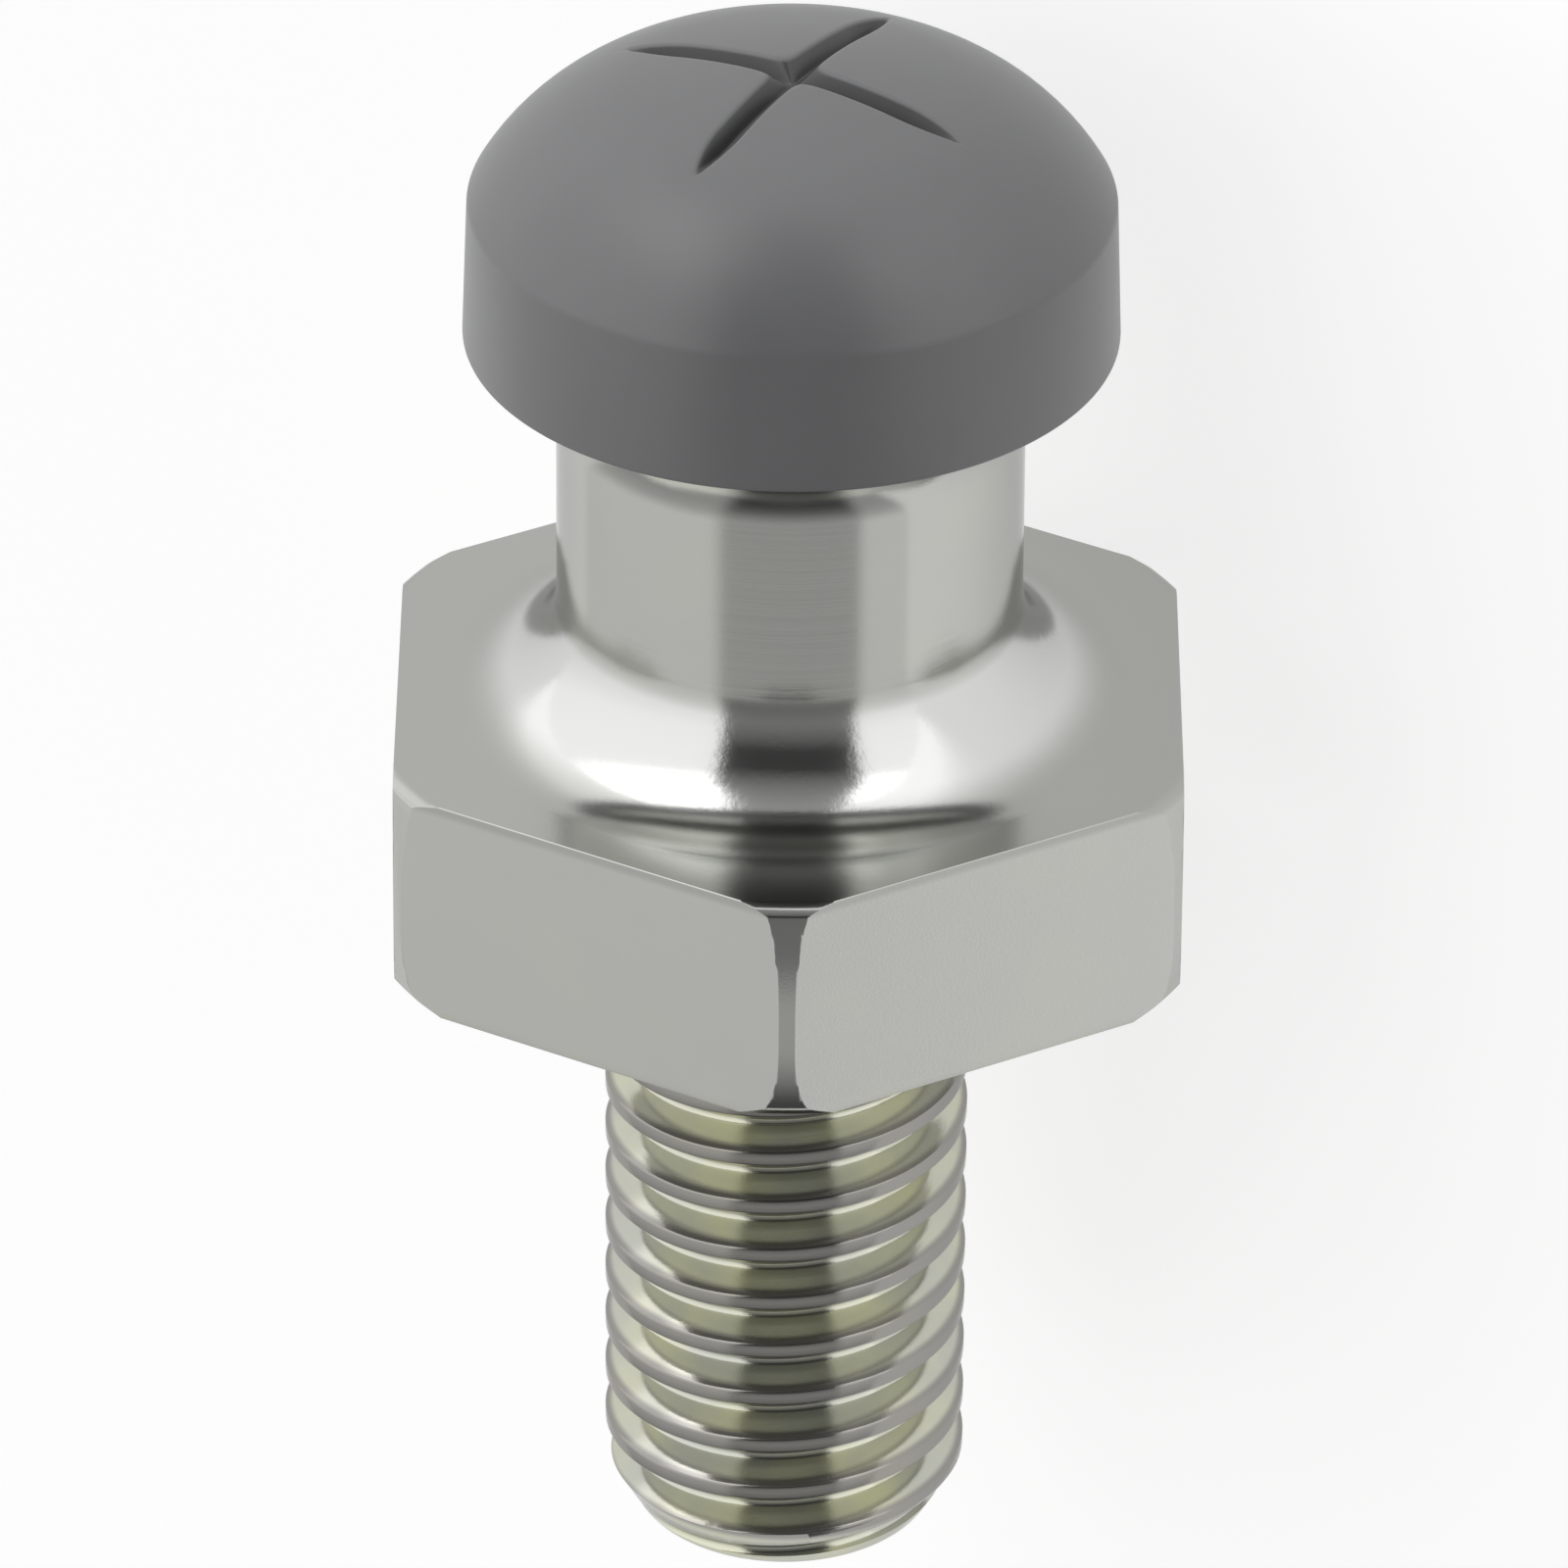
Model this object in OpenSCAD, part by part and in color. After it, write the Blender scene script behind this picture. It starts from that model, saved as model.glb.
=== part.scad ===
// Ball stud: a steel stud with a hexagon collar, a metric shank below it
// and a waisted neck above it that carries a domed plastic cap. Millimetres.
// It lies at rest on one flat of its collar: the axis runs along +Y with the
// head at +Y, and the origin is on the axis in the plane of the seat.

/* [Thread] */
// Major diameter of the threaded shank
thread_d = 8; // [5:0.5:12]
// Length of the shank below the seat
thread_len = 15.65; // [8:0.05:40]
// Length of the tapered lead-in at the shank's end
tip_len = 1.3; // [0.4:0.1:3]
// How far the lead-in cuts in from the thread's crest
tip_cut = 0.75; // [0.2:0.05:1.5]

/* [Collar] */
// Width across the collar's flats
collar_af = 17; // [15.5:0.5:24]
// Height of the collar from the seat to its top
collar_h = 5.3; // [3:0.1:10]
// How far the lathe skims the hexagon's corners
corner_skim = 0.1; // [0.02:0.01:0.15]
// How far the top chamfer cuts in from the corners
top_cut = 0.55; // [0.2:0.05:1]
// Slope of the top chamfer from the horizontal
top_angle = 30; // [20:1:55]
// How far the seat's chamfer cuts in from the corners
seat_cut = 0.55; // [0.2:0.05:1]
// Slope of the seat's chamfer from the horizontal
seat_angle = 44; // [20:1:55]

/* [Neck] */
// Diameter of the neck
neck_d = 10.1; // [6:0.1:11.5]
// Length of the neck from the collar's top to the cap's underside
neck_len = 8.7; // [5:0.1:20]
// Radius of the fillet from the neck to the collar
base_fillet_r = 2.5; // [0.5:0.1:2.6]
// Radius of the fillet from the neck to the steel head
head_fillet_r = 2.4; // [1.3:0.1:3]
// Length of that fillet that shows below the cap
head_fillet_shown = 2; // [0.5:0.1:2.2]

/* [Head] */
// Diameter of the cap
head_d = 14.1; // [12.5:0.1:16.5]
// Height of the cap's straight band
band_h = 3.2; // [2.5:0.1:8]
// Height of the dome above the band
dome_h = 3.1; // [2.3:0.1:5]
// Radius of the dome's flat crown
crown_r = 14.5; // [12:0.5:20]
// Radius of the shoulder between the crown and the band
shoulder_r = 5.4; // [4.5:0.1:7]
// Thickness of the cap's wall round the steel head
cap_wall = 0.7; // [0.5:0.1:1.4]
// Height of the steel head inside the cap, above the cap's underside
core_h = 2.4; // [1.5:0.1:2.5]
// Chamfer on the steel head's top edge
core_chamfer = 0.5; // [0.2:0.1:1]

/* [Cross] */
// Depth of the moulded cross at the top of the dome
cross_depth = 0.6; // [0.3:0.05:1.2]
// Angle between the two walls of a groove
cross_angle = 75; // [40:5:90]

/* [Hidden] */
$fn = 96;

thread_r = thread_d / 2;
corner_r = collar_af / sqrt(3);
neck_r = neck_d / 2;
head_r = head_d / 2;
core_r = head_r - cap_wall;

// Heights along the axis, from the seat
head_z = collar_h + neck_len;
head_fillet_z = head_z - head_fillet_shown;
core_top_z = head_z + core_h;
crease_z = head_z + band_h;
apex_z = crease_z + dome_h;

// The dome's crown arc runs smoothly into a shoulder arc that ends on the band
crease = [head_r, crease_z];
crown_centre = [0, apex_z - crown_r];
crease_reach = norm(crease - crown_centre);
crease_aim = (crease - crown_centre) / crease_reach;
centre_gap = crown_r - shoulder_r;
gap_along = (centre_gap ^ 2 - shoulder_r ^ 2 + crease_reach ^ 2) / (2 * crease_reach);
gap_aside = sqrt(centre_gap ^ 2 - gap_along ^ 2);
shoulder_centre = crown_centre + gap_along * crease_aim + gap_aside * [-crease_aim.y, crease_aim.x];
crease_angle = atan2(crease.y - shoulder_centre.y, crease.x - shoulder_centre.x);
meet_angle = atan2(shoulder_centre.y - crown_centre.y, shoulder_centre.x - crown_centre.x);
arc_steps = 16;

// How far a cut runs past what it cuts
over = 0.5;

// The shank, from its end face up into the collar
module shank_profile() {
    polygon([
        [0, -thread_len],
        [thread_r - tip_cut, -thread_len],
        [thread_r, tip_len - thread_len],
        [thread_r, collar_h / 2],
        [0, collar_h / 2],
    ]);
}

// The collar as a turned disc that skims the hexagon's corners
module collar_profile() {
    disc_r = corner_r - corner_skim;
    polygon([
        [0, 0],
        [corner_r - seat_cut, 0],
        [disc_r, (seat_cut - corner_skim) * tan(seat_angle)],
        [disc_r, collar_h - (top_cut - corner_skim) * tan(top_angle)],
        [corner_r - top_cut, collar_h],
        [0, collar_h],
    ]);
}

// The neck, with the concave fillet at its foot
module neck_profile() {
    foot_r = neck_r + base_fillet_r;
    square([neck_r, head_fillet_z + over]);
    difference() {
        translate([0, collar_h]) square([foot_r, base_fillet_r]);
        translate([foot_r, collar_h + base_fillet_r]) circle(base_fillet_r);
    }
}

// The steel head: the upper fillet flares out to a plain rim inside the cap
module core_profile() {
    flare_r = neck_r + head_fillet_r;
    difference() {
        polygon([
            [0, head_fillet_z],
            [core_r, head_fillet_z],
            [core_r, core_top_z - core_chamfer],
            [core_r - core_chamfer, core_top_z],
            [0, core_top_z],
        ]);
        translate([flare_r, head_fillet_z]) circle(head_fillet_r);
        translate([flare_r, head_fillet_z]) square([head_r, head_fillet_r]);
    }
}

// Half section of the whole stud as it comes off the lathe
module turned_profile() {
    shank_profile();
    collar_profile();
    neck_profile();
    core_profile();
}

// Points on an arc, without its first one
function arc(centre, radius, start, end) = [
    for (i = [1:arc_steps])
        let (angle = start + (end - start) * i / arc_steps)
            centre + radius * [cos(angle), sin(angle)]
];

// Half section of the cap: a straight band and a dome, moulded over the core
module cap_profile() {
    difference() {
        polygon(concat(
            [[0, head_z], [head_r, head_z], crease],
            arc(shoulder_centre, shoulder_r, crease_angle, meet_angle),
            arc(crown_centre, crown_r, meet_angle, 90)
        ));
        core_profile();
    }
}

// One groove of the cross: a V cut level across the dome, so that it is
// deepest at the top and runs out where the dome falls away
module groove() {
    cut_h = cross_depth + over;
    half_w = cut_h * tan(cross_angle / 2);
    translate([0, 0, apex_z - cross_depth])
        rotate([90, 0, 0])
            linear_extrude(head_d, center = true)
                polygon([[0, 0], [half_w, cut_h], [-half_w, cut_h]]);
}

// Lays the upright part down on a flat of its collar
module lay_down() {
    rotate([-90, 0, 0]) children();
}

// Zinc-plated steel stud, turned from hexagon bar that leaves the six flats
module stud() {
    color([0.70, 0.70, 0.66])
        lay_down()
            intersection() {
                rotate_extrude() turned_profile();
                translate([0, 0, -thread_len - over])
                    linear_extrude(thread_len + apex_z + 2 * over)
                        circle(corner_r, $fn = 6);
            }
}

// Dark grey plastic cap over the steel head, with a cross on its dome
module head_cap() {
    color([0.46, 0.46, 0.47])
        lay_down()
            difference() {
                rotate_extrude() cap_profile();
                for (turn = [0, 90])
                    rotate([0, 0, turn]) groove();
            }
}

stud();
head_cap();
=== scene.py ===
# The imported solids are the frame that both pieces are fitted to, in metres.
# The axis runs along +Y with the head at +Y, and the collar lies on one flat.
import math

import bpy
from mathutils import Matrix, Vector


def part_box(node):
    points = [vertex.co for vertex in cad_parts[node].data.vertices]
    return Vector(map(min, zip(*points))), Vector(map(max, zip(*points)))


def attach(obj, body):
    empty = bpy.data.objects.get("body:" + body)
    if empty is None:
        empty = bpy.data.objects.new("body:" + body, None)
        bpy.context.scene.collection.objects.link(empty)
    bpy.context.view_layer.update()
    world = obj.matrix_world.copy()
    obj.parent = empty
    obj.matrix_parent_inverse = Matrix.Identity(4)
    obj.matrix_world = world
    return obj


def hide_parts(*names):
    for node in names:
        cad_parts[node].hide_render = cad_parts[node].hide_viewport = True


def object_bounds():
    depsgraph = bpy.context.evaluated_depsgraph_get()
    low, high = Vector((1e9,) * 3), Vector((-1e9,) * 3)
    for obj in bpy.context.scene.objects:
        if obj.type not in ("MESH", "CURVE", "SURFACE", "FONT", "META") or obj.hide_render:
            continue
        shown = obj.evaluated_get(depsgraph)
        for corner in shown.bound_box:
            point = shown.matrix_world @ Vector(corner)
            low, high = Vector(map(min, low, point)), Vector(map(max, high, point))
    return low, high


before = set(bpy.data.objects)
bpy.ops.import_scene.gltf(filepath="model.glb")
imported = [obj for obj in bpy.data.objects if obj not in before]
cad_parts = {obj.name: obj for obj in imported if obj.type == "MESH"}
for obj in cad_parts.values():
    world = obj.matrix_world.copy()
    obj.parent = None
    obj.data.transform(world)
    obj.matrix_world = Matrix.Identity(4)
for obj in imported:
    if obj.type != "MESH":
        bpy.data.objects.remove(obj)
cad_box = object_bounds()


# Stud blank: one piece of free-cutting steel, turned from 17 mm hexagon bar.
# The lathe skims the bar's corners to a soft crown, and cuts the neck, its two
# fillets and the flared head that the cap is moulded over.
MM = 0.001
stud_low, stud_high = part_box("stud")
cap_low, cap_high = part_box("head_cap")
skim_r = stud_high.x
collar_af = 17
corner_r = collar_af / math.sqrt(3) * MM
collar_h = 5.3 * MM
collar_edge = 0.025 * MM
top_cut = 0.55 * MM
top_slope = math.tan(math.radians(30))
seat_cut = 0.55 * MM
seat_slope = math.tan(math.radians(44))
flare_cut = 0.24 * MM
flare_bend = 0.06 * MM
flare_lean = flare_bend / 20
bend_steps = 6
flare_steps = 10
top_flare_run = 2.9 * MM
seat_flare_run = 1.9 * MM
cone_cut = 0.37 * MM
neck_r = 5.05 * MM
foot_fillet_r = 2.5 * MM
foot_fillet_steps = 40
head_fillet_r = 2.4 * MM
head_fillet_steps = 28
head_fillet_shown = 2.0 * MM
head_fillet_y = cap_low.y - head_fillet_shown
cap_wall = 0.7 * MM
core_r = cap_high.x - cap_wall
core_top_y = stud_high.y
core_chamfer = 0.5 * MM
lathe_steps = 192
corner_steps = 720
weld_gap = 1e-4 * MM
over = 0.3 * MM


def arc(centre_r, centre_y, radius, start_deg, end_deg, steps):
    """Points on an arc of a half section, as (radius, height) pairs."""
    turns = [math.radians(start_deg + (end_deg - start_deg) * i / steps) for i in range(steps + 1)]
    return [(centre_r + radius * math.cos(t), centre_y + radius * math.sin(t)) for t in turns]


def eased(before, corner, after, steps):
    """A rounded corner: a curve from before to after that bends round the corner."""
    points = []
    for i in range(steps + 1):
        t = i / steps
        shares = ((1 - t) ** 2, 2 * t * (1 - t), t * t)
        r = shares[0] * before[0] + shares[1] * corner[0] + shares[2] * after[0]
        y = shares[0] * before[1] + shares[1] * corner[1] + shares[2] * after[1]
        points.append((r, y))
    return points


def trace_half_section(name, section):
    """A new mesh whose vertices follow the half section, and leaves it in edit mode."""
    bpy.ops.object.select_all(action="DESELECT")
    bpy.ops.mesh.primitive_plane_add(size=MM)
    piece = bpy.context.object
    piece.name = name
    piece.data.name = name
    bpy.ops.object.mode_set(mode="EDIT")
    bpy.ops.mesh.select_mode(type="VERT")
    bpy.ops.mesh.merge(type="CENTER")
    bpy.ops.transform.translate(value=(section[0][0], section[0][1], 0))
    for (r0, y0), (r1, y1) in zip(section, section[1:]):
        step = (r1 - r0, y1 - y0, 0)
        bpy.ops.mesh.extrude_region_move(TRANSFORM_OT_translate={"value": step})
    bpy.ops.mesh.select_all(action="SELECT")
    return piece


def turn_on_lathe(name, section, steps=lathe_steps):
    """Spins a half section once round the axis into a closed solid."""
    piece = trace_half_section(name, section)
    bpy.ops.mesh.spin(steps=steps, angle=math.tau, center=(0, 0, 0), axis=(0, 1, 0))
    bpy.ops.mesh.select_all(action="SELECT")
    bpy.ops.mesh.remove_doubles(threshold=weld_gap)
    bpy.ops.mesh.normals_make_consistent(inside=False)
    bpy.ops.object.mode_set(mode="OBJECT")
    return piece


def apply_modifier(piece, kind, settings):
    """Adds one modifier to a piece, sets it and applies it."""
    bpy.ops.object.select_all(action="DESELECT")
    piece.select_set(True)
    bpy.context.view_layer.objects.active = piece
    modifier = piece.modifiers.new(kind.lower(), kind)
    for key, value in settings.items():
        setattr(modifier, key, value)
    bpy.ops.object.modifier_apply(modifier=modifier.name)


def cut_with(piece, tool, operation):
    """Joins or cuts a piece with a tool solid, then removes the tool."""
    apply_modifier(piece, "BOOLEAN", {"operation": operation, "solver": "EXACT", "object": tool})
    bpy.data.objects.remove(tool)


bpy.ops.object.select_all(action="DESELECT")
bpy.ops.mesh.primitive_cylinder_add(
    vertices=6,
    radius=corner_r,
    depth=collar_h,
    location=(0, collar_h / 2, 0),
    rotation=(math.pi / 2, math.pi / 6, 0),
)
stud = bpy.context.object
stud.name = "stud_body"
stud.data.name = "stud_body"
bpy.ops.object.transform_apply(location=True, rotation=True, scale=True)
bpy.ops.object.mode_set(mode="EDIT")
bpy.ops.mesh.select_mode(type="EDGE")
bpy.ops.mesh.select_all(action="DESELECT")
bpy.ops.object.mode_set(mode="OBJECT")
for edge in stud.data.edges:
    ends = [stud.data.vertices[i].co for i in edge.vertices]
    edge.select = abs(ends[0].y - ends[1].y) < collar_h / 2
bpy.ops.object.mode_set(mode="EDIT")
bpy.ops.mesh.bevel(offset=collar_edge, segments=3, affect="EDGES")
bpy.ops.object.mode_set(mode="OBJECT")


def skimmed_corner(cut, slope, flare_run):
    """A collar corner from its cone to the straight skim, as heights above the nearer face."""
    cone_end = (corner_r - cone_cut, (cut - cone_cut) * slope)
    bend = (corner_r - flare_cut, (cut - flare_cut) * slope)
    flare_start = (bend[0] + flare_lean, bend[1] + flare_bend)
    flare = eased(flare_start, (skim_r, flare_run / 2), (skim_r, flare_run), flare_steps)
    return eased(cone_end, bend, flare_start, bend_steps) + flare[1:]


seat_corner = skimmed_corner(seat_cut, seat_slope, seat_flare_run)
top_corner = skimmed_corner(top_cut, top_slope, top_flare_run)
crown_section = [(0, -over), (corner_r - seat_cut - over / seat_slope, -over)]
crown_section += seat_corner
crown_section += [(r, collar_h - y) for r, y in reversed(top_corner)]
crown_section += [(corner_r - top_cut - over / top_slope, collar_h + over), (0, collar_h + over)]
cut_with(stud, turn_on_lathe("crown", crown_section, corner_steps), "INTERSECT")

foot_r = neck_r + foot_fillet_r
flare_r = neck_r + head_fillet_r
flare_end_deg = math.degrees(math.acos((core_r - flare_r) / head_fillet_r))
core_section = [
    (core_r, core_top_y - core_chamfer),
    (core_r - core_chamfer, core_top_y),
    (0, core_top_y),
]
neck_section = [(0, collar_h / 2), (foot_r, collar_h / 2)]
neck_section += arc(foot_r, collar_h + foot_fillet_r, foot_fillet_r, 270, 180, foot_fillet_steps)
neck_section += arc(flare_r, head_fillet_y, head_fillet_r, 180, flare_end_deg, head_fillet_steps)
neck_section += core_section
cut_with(stud, turn_on_lathe("neck", neck_section), "UNION")

# Thread: M8 x 1.25, right-handed, rolled on the shank up to the collar.
# Its end is turned to a taper first, so the first turn rises out of the cone.
thread_r = 4.0 * MM
pitch = 1.25 * MM
tip_len = 1.3 * MM
tip_cut = 0.75 * MM
tip_edge = 0.25 * MM
tip_steps = 5
taper_over = 0.2 * MM
root_r = 0.17 * MM
root_steps = 6
crest_half = 0.16 * MM
crest_edge = 0.04 * MM
crest_steps = 4
flank = math.radians(30)
flank_steps = 3
thread_phase = -0.517 * MM
thread_steps = 96
bisect_gap = 1e-5 * MM
stud_sharp_deg = 36

crest_y = pitch / 2 - crest_half
groove_tip_r = thread_r - crest_y / math.tan(flank)
root_arc = arc(groove_tip_r + root_r / math.sin(flank), 0, root_r, 180, 120, root_steps)
toward_root = (thread_r - crest_edge * math.cos(flank), crest_y - crest_edge * math.sin(flank))
crest_corner = eased(toward_root, (thread_r, crest_y), (thread_r, crest_y + crest_edge), crest_steps)
root_end = root_arc[-1]
flank_points = []
for i in range(1, flank_steps):
    share = i / flank_steps
    r = root_end[0] + share * (toward_root[0] - root_end[0])
    y = root_end[1] + share * (toward_root[1] - root_end[1])
    flank_points.append((r, y))
rising = root_arc + flank_points + crest_corner
falling = [(r, pitch - y) for r, y in reversed(rising)]
thread = trace_half_section("thread", rising + falling)
bpy.ops.object.mode_set(mode="OBJECT")
turns = math.ceil((-stud_low.y + collar_h) / pitch) + 3
thread.data.transform(Matrix.Translation((0, stud_low.y - 2 * pitch + thread_phase, 0)))
apply_modifier(thread, "SCREW", {
    "axis": "Y",
    "angle": math.tau,
    "screw_offset": pitch,
    "iterations": turns,
    "steps": thread_steps,
    "render_steps": thread_steps,
    "use_merge_vertices": True,
    "merge_threshold": weld_gap,
})
bpy.ops.object.mode_set(mode="EDIT")
for height, side in ((stud_low.y - over, -1), (collar_h / 2, 1)):
    bpy.ops.mesh.select_all(action="SELECT")
    bpy.ops.mesh.bisect(
        plane_co=(0, height, 0),
        plane_no=(0, side, 0),
        use_fill=True,
        clear_outer=True,
        threshold=bisect_gap,
    )
bpy.ops.mesh.select_all(action="SELECT")
bpy.ops.mesh.remove_doubles(threshold=weld_gap)
bpy.ops.mesh.normals_make_consistent(inside=False)
bpy.ops.object.mode_set(mode="OBJECT")

tip_r = thread_r - tip_cut
taper = Vector((tip_cut, tip_len)).normalized() * tip_edge
tip_corner = eased(
    (tip_r - tip_edge, stud_low.y),
    (tip_r, stud_low.y),
    (tip_r + taper.x, stud_low.y + taper.y),
    tip_steps,
)
wide_r = thread_r + taper_over
wide_y = stud_low.y + tip_len * (wide_r - tip_r) / tip_cut
taper_section = [(0, stud_low.y)] + tip_corner
taper_section += [(wide_r, wide_y), (wide_r, collar_h), (0, collar_h)]
cut_with(thread, turn_on_lathe("taper", taper_section), "INTERSECT")
cut_with(stud, thread, "UNION")


def soften(piece, sharp_deg):
    """Smooth shading that keeps flat faces flat up to their rounded edges."""
    bpy.ops.object.select_all(action="DESELECT")
    piece.select_set(True)
    bpy.context.view_layer.objects.active = piece
    bpy.ops.object.shade_smooth_by_angle(angle=math.radians(sharp_deg))
    apply_modifier(piece, "WEIGHTED_NORMAL", {"mode": "FACE_AREA", "weight": 80, "keep_sharp": True})


soften(stud, stud_sharp_deg)


# Zinc plate on the whole stud: thin and bright, with the lathe's fine rings
# showing through and a yellow passivation tint that gathers in the thread.
class Wire:
    """One output of a shader node; arithmetic on it adds Math nodes to its tree."""

    def __init__(self, tree, socket=None):
        self.tree = tree
        self.socket = socket

    def node(self, kind, settings, inputs, output=0):
        """Adds a node: its settings first, then the values or links of its sockets."""
        made = self.tree.nodes.new(kind)
        for key, value in settings.items():
            if key == "stops":
                ramp = made.color_ramp
                while len(ramp.elements) < len(value):
                    ramp.elements.new(1.0)
                for element, (place, colour) in zip(ramp.elements, value):
                    element.position = place
                    element.color = colour
            else:
                setattr(made, key, value)
        for key, value in inputs.items():
            if isinstance(value, Wire):
                self.tree.links.new(value.socket, made.inputs[key])
            else:
                made.inputs[key].default_value = value
        return Wire(self.tree, made.outputs[output] if made.outputs else None)

    def math(self, operation, first, second):
        return self.node("ShaderNodeMath", {"operation": operation}, {0: first, 1: second})

    def __add__(self, other):
        return self.math("ADD", self, other)

    def __radd__(self, other):
        return self.math("ADD", other, self)

    def __sub__(self, other):
        return self.math("SUBTRACT", self, other)

    def __rsub__(self, other):
        return self.math("SUBTRACT", other, self)

    def __mul__(self, other):
        return self.math("MULTIPLY", self, other)

    def __rmul__(self, other):
        return self.math("MULTIPLY", other, self)

    def __pow__(self, other):
        return self.math("POWER", self, other)

    def __abs__(self):
        return self.math("ABSOLUTE", self, 0.0)

    def step(self, low, high):
        """Eases from 0 at low to 1 at high."""
        return self.node(
            "ShaderNodeMapRange",
            {"interpolation_type": "SMOOTHSTEP"},
            {"Value": self, "From Min": low, "From Max": high, "To Min": 0.0, "To Max": 1.0},
        )

    def mix(self, first, second):
        """A colour between first and second, by this share."""
        return self.node(
            "ShaderNodeMix",
            {"data_type": "RGBA"},
            {"Factor": self, 6: first, 7: second},
            output=2,
        )


def new_finish(name):
    """A material with an empty tree, and the wire that adds its nodes."""
    finish = bpy.data.materials.new(name)
    finish.use_nodes = True
    finish.node_tree.nodes.clear()
    return finish, Wire(finish.node_tree)


zinc_white = (0.51, 0.515, 0.49, 1)
zinc_fillet_painted_highlight = (0.675, 0.68, 0.665, 1)
zinc_top_painted_shade = (0.43, 0.434, 0.41, 1)
zinc_yellow = (0.625, 0.63, 0.49, 1)
zinc_violet_and_painted_shade = (0.26, 0.247, 0.243, 1)
edge_tint = (0.73, 0.73, 0.73, 1)
cloud_scale = 420.0
grain_scale = 14000.0
pit_scale = 5500.0
pit_share = 3.0
ring_scale = 26000.0
ring_share = 0.5
plate_relief = 0.002 * MM
plain_tint = 0.12
plain_patches = (0.35, 0.75)
thread_tint = 0.25
patch_tint = 0.6
thread_patches = (0.3, 0.7)
crest_tint_and_shade = 0.8
plate_rough = 0.10
cloud_rough = 0.06
top_rough = 0.03

# Where each part of the stud begins, along the radius or up the axis.
crest_start = (3.80 * MM, 3.94 * MM)
below_seat = (-0.2 * MM, 0.4 * MM)
above_seat = (0.2 * MM, 0.4 * MM)
collar_top = (5.0 * MM, 5.2 * MM)
fillet_start = (5.053 * MM, 5.12 * MM)
fillet_end = (6.0 * MM, 7.0 * MM)
fillet_top = (8.0 * MM, 8.4 * MM)
top_start = (6.0 * MM, 7.2 * MM)
flats_start = (8.3 * MM, 8.4 * MM)


def split(wires, place):
    """The x, y and z of a place on a piece."""
    return [wires.node("ShaderNodeSeparateXYZ", {}, {"Vector": place}, output=i) for i in range(3)]


zinc, wires = new_finish("zinc_plate")
place = wires.node("ShaderNodeTexCoord", {}, {}, output=3)
x, y, z = split(wires, place)
radius = (x * x + z * z) ** 0.5
clouds = wires.node("ShaderNodeTexNoise", {}, {"Vector": place, "Scale": cloud_scale, "Detail": 3.0})
grain = wires.node("ShaderNodeTexNoise", {}, {"Vector": place, "Scale": grain_scale, "Detail": 2.0})
pits = wires.node("ShaderNodeTexNoise", {}, {"Vector": place, "Scale": pit_scale, "Detail": 3.0})
rings = wires.node(
    "ShaderNodeTexNoise",
    {"noise_dimensions": "1D"},
    {"W": (radius + y) * ring_scale, "Detail": 2.0},
)
on_thread = (y * -1.0).step(*below_seat)
on_crest = radius.step(*crest_start) * on_thread
above_collar = y.step(*collar_top)
below_head = 1.0 - y.step(*fillet_top)
in_fillet = radius.step(*fillet_start) * (1.0 - radius.step(*fillet_end))
on_fillet = in_fillet * above_collar * below_head
on_top = radius.step(*top_start) * above_collar
on_flats = radius.step(*flats_start) * y.step(*above_seat) * (1.0 - above_collar)
turned = 1.0 - on_flats
in_thread = on_thread * (thread_tint + patch_tint * clouds.step(*thread_patches))
tint = clouds.step(*plain_patches) * plain_tint + in_thread
colour = tint.mix(zinc_white, zinc_yellow)
# A violet tint and painted shade on the thread crests: the zinc there is given a darker, violet
# colour.
colour = (on_crest * crest_tint_and_shade).mix(colour, zinc_violet_and_painted_shade)
# Painted highlight: the neck fillet is given a lighter zinc so that its reflections come out whiter.
colour = on_fillet.mix(colour, zinc_fillet_painted_highlight)
# Painted shade: the collar's top face is given a darker zinc so that its reflection comes out darker.
colour = on_top.mix(colour, zinc_top_painted_shade)
roughness = plate_rough + cloud_rough * clouds + top_rough * on_top
relief = grain + turned * rings * ring_share + on_fillet * pits * pit_share
bump = wires.node("ShaderNodeBump", {}, {"Strength": 0.35, "Distance": plate_relief, "Height": relief})
steel = wires.node("ShaderNodeBsdfPrincipled", {}, {
    "Base Color": colour,
    "Metallic": 1.0,
    "Specular Tint": edge_tint,
    "Roughness": roughness,
    "Normal": bump,
})
wires.node("ShaderNodeOutputMaterial", {}, {"Surface": steel})

stud.data.materials.clear()
stud.data.materials.append(zinc)
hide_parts("stud")
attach(stud, "root")


# Head cap: dark grey plastic moulded over the steel head, with a straight band,
# a shallow dome and a cross of two V grooves. The tool leaves a fine satin skin.
head_r = cap_high.x
band_h = 3.2 * MM
dome_h = 3.1 * MM
crown_r = 14.5 * MM
shoulder_r = 5.4 * MM
band_draft = 0.1 * MM
rim_edge = 0.08 * MM
crease_edge = 0.1 * MM
cap_steps = 600
under_steps = 3
rim_steps = 5
crease_steps = 6
shoulder_steps = 14
cross_end_steps = 20
crown_steps = 78
cap_sharp_deg = 60
crease_y = cap_low.y + band_h
apex_y = crease_y + dome_h
band_top_r = head_r - band_draft
crown_centre = Vector((0, apex_y - crown_r))
crease_reach = (Vector((band_top_r, crease_y)) - crown_centre).length
crease_aim = (Vector((band_top_r, crease_y)) - crown_centre).normalized()
crease_side = Vector((-crease_aim.y, crease_aim.x))
centre_gap = crown_r - shoulder_r
gap_along = (centre_gap ** 2 - shoulder_r ** 2 + crease_reach ** 2) / (2 * crease_reach)
gap_aside = math.sqrt(centre_gap ** 2 - gap_along ** 2)
shoulder_centre = crown_centre + gap_along * crease_aim + gap_aside * crease_side
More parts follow.
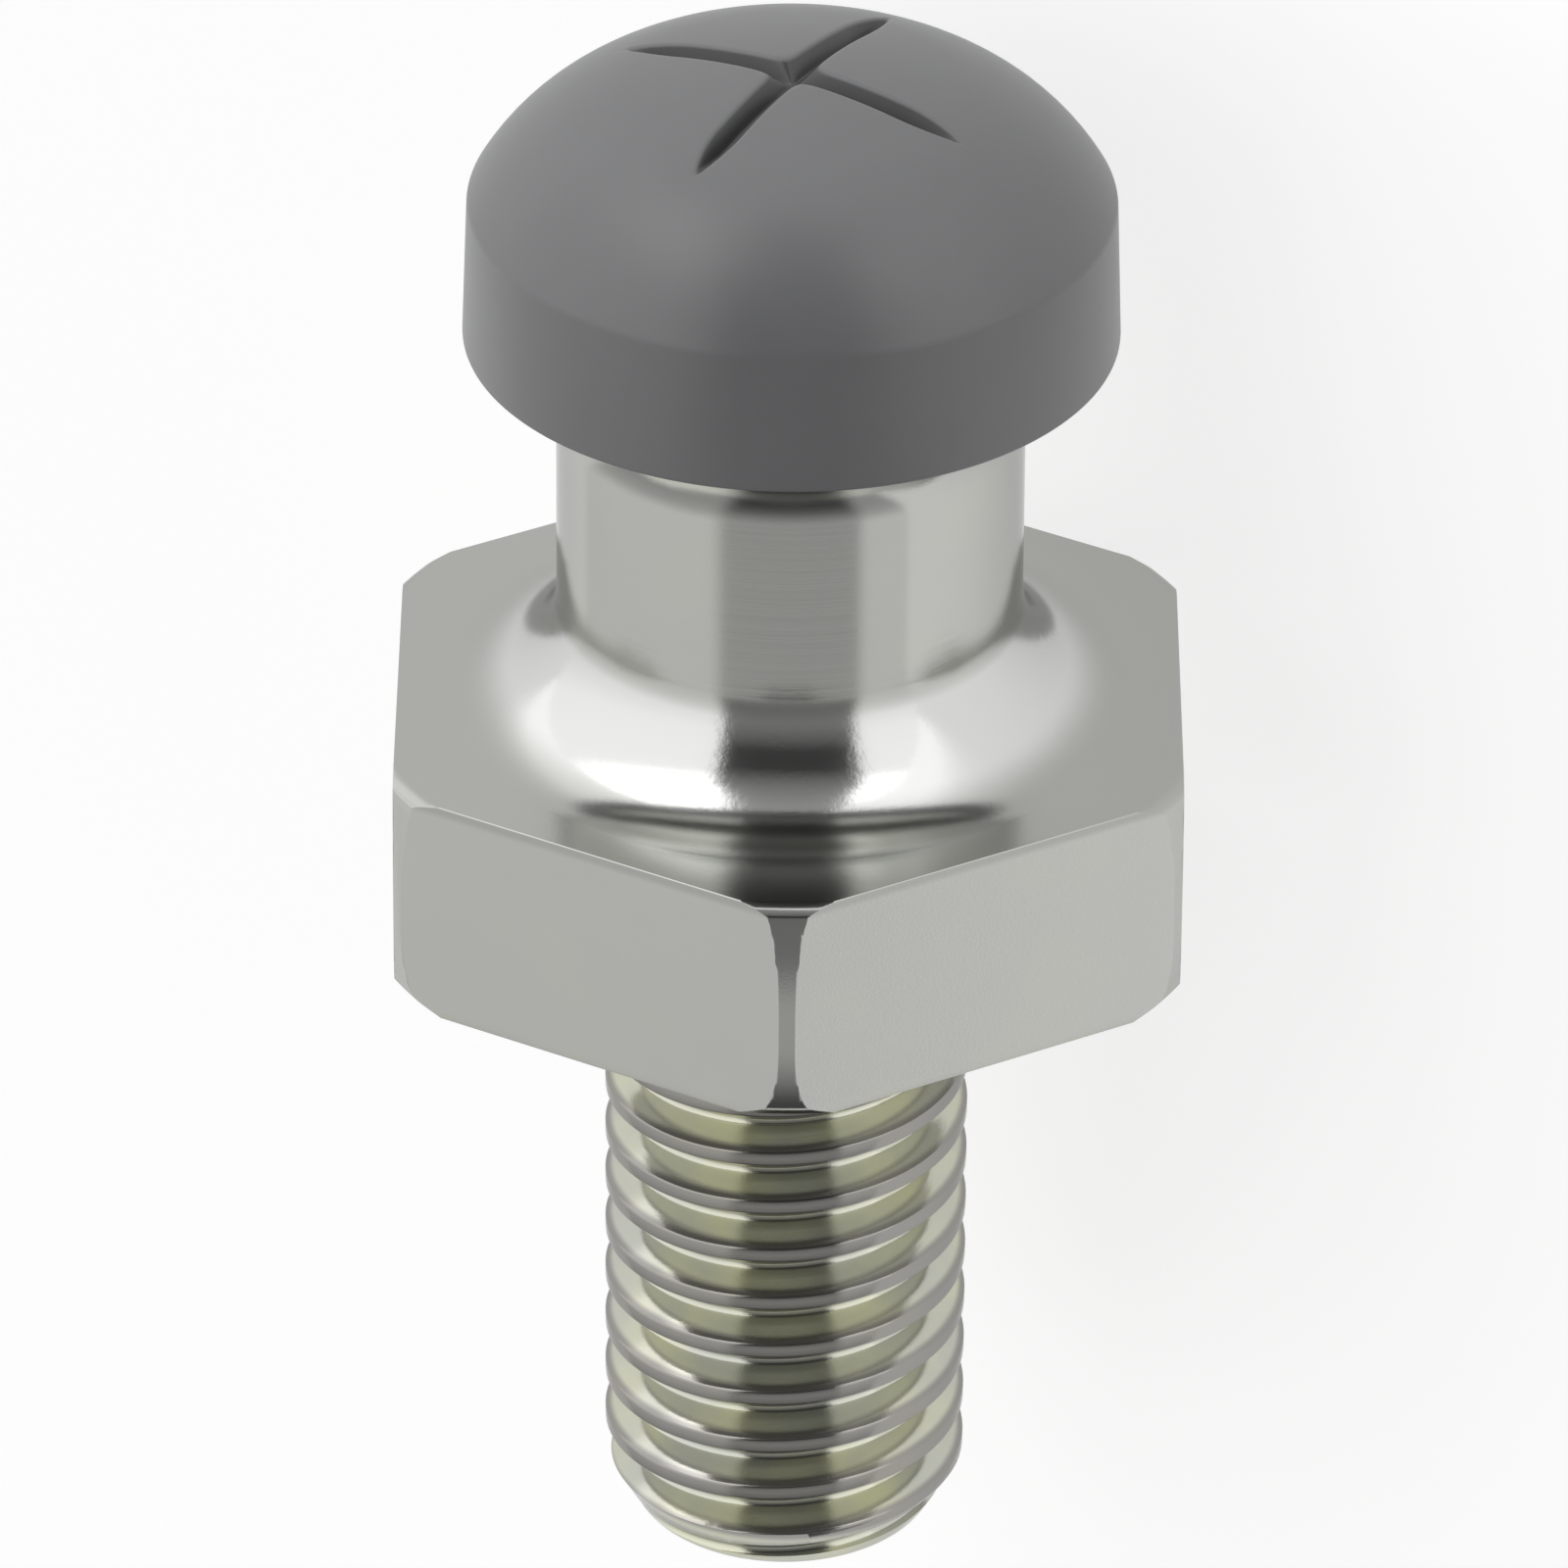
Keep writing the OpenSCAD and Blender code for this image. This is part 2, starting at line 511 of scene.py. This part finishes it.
crease_deg = math.degrees(math.asin((crease_y - shoulder_centre.y) / shoulder_r))
dome_start_deg = crease_deg + math.degrees(crease_edge / shoulder_r)
cross_reach = 4.18 * MM
cross_start_deg = math.degrees(math.acos((cross_reach - shoulder_centre.x) / shoulder_r))
meet_deg = math.degrees(math.acos(shoulder_centre.x / centre_gap))
under_deg = math.degrees(math.asin((cap_low.y - head_fillet_y) / head_fillet_r))
under_arc = arc(flare_r, head_fillet_y, head_fillet_r, flare_end_deg, 180 - under_deg, under_steps)
rim_corner = eased(
    (head_r - rim_edge, cap_low.y),
    (head_r, cap_low.y),
    (head_r, cap_low.y + rim_edge),
    rim_steps,
)
dome_arc = arc(*shoulder_centre, shoulder_r, dome_start_deg, cross_start_deg, shoulder_steps)
dome_arc += arc(*shoulder_centre, shoulder_r, cross_start_deg, meet_deg, cross_end_steps)[1:]
dome_arc += arc(*crown_centre, crown_r, meet_deg, 90, crown_steps)[1:]
crease_corner = eased(
    (band_top_r, crease_y - crease_edge),
    (band_top_r, crease_y),
    dome_arc[0],
    crease_steps,
)
cavity = list(reversed(core_section))
cap = turn_on_lathe(
    "head_cap_body",
    cavity + under_arc + rim_corner + crease_corner + dome_arc[1:-1] + [(0, apex_y)],
    cap_steps,
)

# Cross on the dome: two moulded V grooves that follow the dome at an even depth
# and fade out near their ends. Their lips, bottoms and meeting are a little round.
cross_depth = 0.46 * MM
cross_half_deg = 33
cross_slope = 1 / math.tan(math.radians(cross_half_deg))
cross_fade = 1.5 * MM
lip_r = 0.035 * MM
bottom_r = 0.04 * MM
drop_floor = -20
for point in cap.data.vertices:
    reach = math.hypot(point.co.x, point.co.z)
    if point.co.y < crease_y or reach > cross_reach:
        continue
    aside = abs(point.co.x * point.co.z) / max(reach, bottom_r)
    fade = min((cross_reach - reach) / cross_fade, 1)
    depth = cross_depth * fade * (2 - fade)
    drop = (depth - cross_slope * math.hypot(aside, bottom_r)) / lip_r
    if drop > drop_floor:
        point.co.y -= lip_r * math.log1p(math.exp(drop))
soften(cap, cap_sharp_deg)

plastic_dark = (0.134, 0.135, 0.140, 1)
plastic_light = (0.152, 0.153, 0.158, 1)
plastic_painted_shade = (0.012, 0.012, 0.013, 1)
mottle_scale = 600.0
skin_scale = 9000.0
skin_relief = 0.003 * MM
skin_rough = 0.34
mottle_rough = 0.08
meet_blend = 0.01 * MM
shade_depth = (0.01 * MM, 0.08 * MM)
shade_end = (cross_reach, cross_reach + 0.2 * MM)
plastic, wires = new_finish("cap_plastic")
place = wires.node("ShaderNodeTexCoord", {}, {}, output=3)
mottle = wires.node("ShaderNodeTexNoise", {}, {"Vector": place, "Scale": mottle_scale, "Detail": 4.0})
skin = wires.node("ShaderNodeTexNoise", {}, {"Vector": place, "Scale": skin_scale, "Detail": 2.0})
x, y, z = split(wires, place)
radius = (x * x + z * z) ** 0.5
past_meet = radius - shoulder_centre.x
crown_y = (crown_r ** 2 - radius * radius) ** 0.5 + crown_centre.y
shoulder_y = (shoulder_r ** 2 - past_meet * past_meet) ** 0.5 + shoulder_centre.y
meet_r = crown_r * math.cos(math.radians(meet_deg))
on_shoulder = radius.step(meet_r, meet_r + meet_blend)
depth = crown_y + on_shoulder * (shoulder_y - crown_y) - y
# Painted shade in the cross grooves: the plastic turns near black with depth below the dome.
in_cross = depth.step(*shade_depth) * (1.0 - radius.step(*shade_end))
colour = in_cross.mix(mottle.mix(plastic_dark, plastic_light), plastic_painted_shade)
bump = wires.node("ShaderNodeBump", {}, {"Strength": 0.4, "Distance": skin_relief, "Height": skin})
moulded = wires.node("ShaderNodeBsdfPrincipled", {}, {
    "Base Color": colour,
    "Roughness": skin_rough + mottle_rough * mottle,
    "IOR": 1.7,
    "Normal": bump,
})
wires.node("ShaderNodeOutputMaterial", {}, {"Surface": moulded})
cap.data.materials.clear()
cap.data.materials.append(plastic)
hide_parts("head_cap")
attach(cap, "root")


# Camera: a long lens square to a corner of the collar, looking down on the head,
# and rolled a little so that the axis leans as it does in the photograph.
view_up = Vector((0, 1, 0))
view_front = Vector((0.5, 0, math.sqrt(0.75)))
view_right = view_up.cross(view_front)
look_down = math.radians(30.9)
lean = math.radians(0.38)
aim_up = 2.665 * MM
aim_left = 0.096 * MM
eye_distance = 0.319
focal_length = 335.7
eye_back = math.cos(look_down) * view_front + math.sin(look_down) * view_up
eye_up = math.cos(look_down) * view_up - math.sin(look_down) * view_front
eye_right = math.cos(lean) * view_right + math.sin(lean) * eye_up
eye_top = math.cos(lean) * eye_up - math.sin(lean) * view_right
aim = aim_up * view_up - aim_left * view_right
lens = bpy.data.cameras.new("camera")
lens.lens = focal_length
lens.sensor_width = 36
lens.clip_start = 0.01
camera = bpy.data.objects.new("camera", lens)
turn = Matrix((eye_right, eye_top, eye_back)).transposed().to_4x4()
camera.matrix_world = Matrix.Translation(aim + eye_distance * eye_back) @ turn
bpy.context.scene.collection.objects.link(camera)
bpy.context.scene.camera = camera

# Studio: a pale paper floor under the stud, lighter beyond its head, and soft white
# panels all round it, with the dark gap between them where the camera stands.
floor_size = 3.0
paper_white = 0.88
glow_near = 1.25
glow_far = 1.9
glow_rise = (18 * MM, 45 * MM)
glow_share = 0.6
gap_edge = 0.05
gap_front = (-0.15, 0.05)


def grey(level):
    """A neutral colour of that level."""
    return (level, level, level, 1)


bpy.ops.object.select_all(action="DESELECT")
bpy.ops.mesh.primitive_plane_add(size=floor_size, location=(0, 0, cad_box[0][2]))
floor = bpy.context.object
floor.name = "floor"
paper, wires = new_finish("pale_floor")
seen = wires.node("ShaderNodeLightPath", {}, {}, output="Is Camera Ray")
shiny = wires.node("ShaderNodeLightPath", {}, {}, output="Is Glossy Ray")
through = wires.node("ShaderNodeLightPath", {}, {}, output="Is Transmission Ray")
place = wires.node("ShaderNodeTexCoord", {}, {}, output=3)
y = wires.node("ShaderNodeSeparateXYZ", {}, {"Vector": place}, output=1)
glow_colour = y.step(*glow_rise).mix(grey(glow_near), grey(glow_far))
matte = wires.node("ShaderNodeBsdfDiffuse", {}, {"Color": grey(paper_white)})
glow = wires.node("ShaderNodeEmission", {}, {"Color": glow_colour, "Strength": 1.0})
pale = wires.node("ShaderNodeMixShader", {}, {0: glow_share, 1: matte, 2: glow})
surface = wires.node("ShaderNodeMixShader", {}, {0: seen + shiny + through, 1: matte, 2: pale})
wires.node("ShaderNodeOutputMaterial", {}, {"Surface": surface})
floor.data.materials.append(paper)

studio = bpy.data.worlds.new("studio")
studio.use_nodes = True
studio.node_tree.nodes.clear()
bpy.context.scene.world = studio
wires = Wire(studio.node_tree)
ray = wires.node("ShaderNodeTexCoord", {}, {}, output=0)


def along(direction):
    """How far a ray points along a direction, from -1 to 1."""
    settings = {"operation": "DOT_PRODUCT"}
    return wires.node("ShaderNodeVectorMath", settings, {0: ray, 1: direction}, output=1)


across = along(view_right)
ahead = along(view_front)
upward = along(view_up) * 0.5 + 0.5
panels = wires.node("ShaderNodeValToRGB", {"stops": [
    (0.0, grey(0.42)),
    (0.117, grey(0.45)),
    (0.179, grey(0.55)),
    (0.243, grey(0.84)),
    (0.265, grey(0.86)),
    (0.388, grey(1.02)),
    (0.457, grey(1.1)),
    (0.544, grey(1.2)),
    (0.854, grey(1.25)),
    (0.91, grey(2.2)),
    (0.941, grey(2.4)),
    (1.0, grey(2.2)),
]}, {0: upward})
gap = wires.node("ShaderNodeValToRGB", {"stops": [
    (0.0, grey(0.3)),
    (0.065, grey(0.05)),
    (0.12, grey(0.14)),
    (0.179, grey(0.34)),
    (0.243, grey(0.57)),
    (0.258, grey(0.55)),
    (0.272, grey(0.38)),
    (0.290, grey(0.24)),
    (0.5, grey(0.21)),
    (0.604, grey(0.14)),
    (0.70, grey(0.05)),
    (0.83, grey(0.05)),
    (0.90, grey(0.18)),
    (0.95, grey(0.27)),
    (0.975, grey(0.31)),
    (1.0, grey(0.40)),
]}, {0: upward})
gap_width = wires.node("ShaderNodeValToRGB", {"stops": [
    (0.0, grey(0.25)),
    (0.063, grey(0.31)),
    (0.15, grey(0.43)),
    (0.243, grey(0.5)),
    (0.578, grey(0.49)),
    (0.742, grey(0.46)),
    (0.877, grey(0.40)),
    (0.915, grey(0.37)),
    (0.967, grey(0.26)),
    (1.0, grey(0.18)),
]}, {0: upward})
beside_gap = (abs(across) - gap_width).step(-gap_edge, gap_edge)
in_gap = (1.0 - beside_gap) * ahead.step(*gap_front)
light = in_gap.mix(panels, gap)
sky = wires.node("ShaderNodeBackground", {}, {"Color": light, "Strength": 1.0})
wires.node("ShaderNodeOutputWorld", {}, {"Surface": sky})

bpy.context.scene.view_settings.view_transform = "Standard"
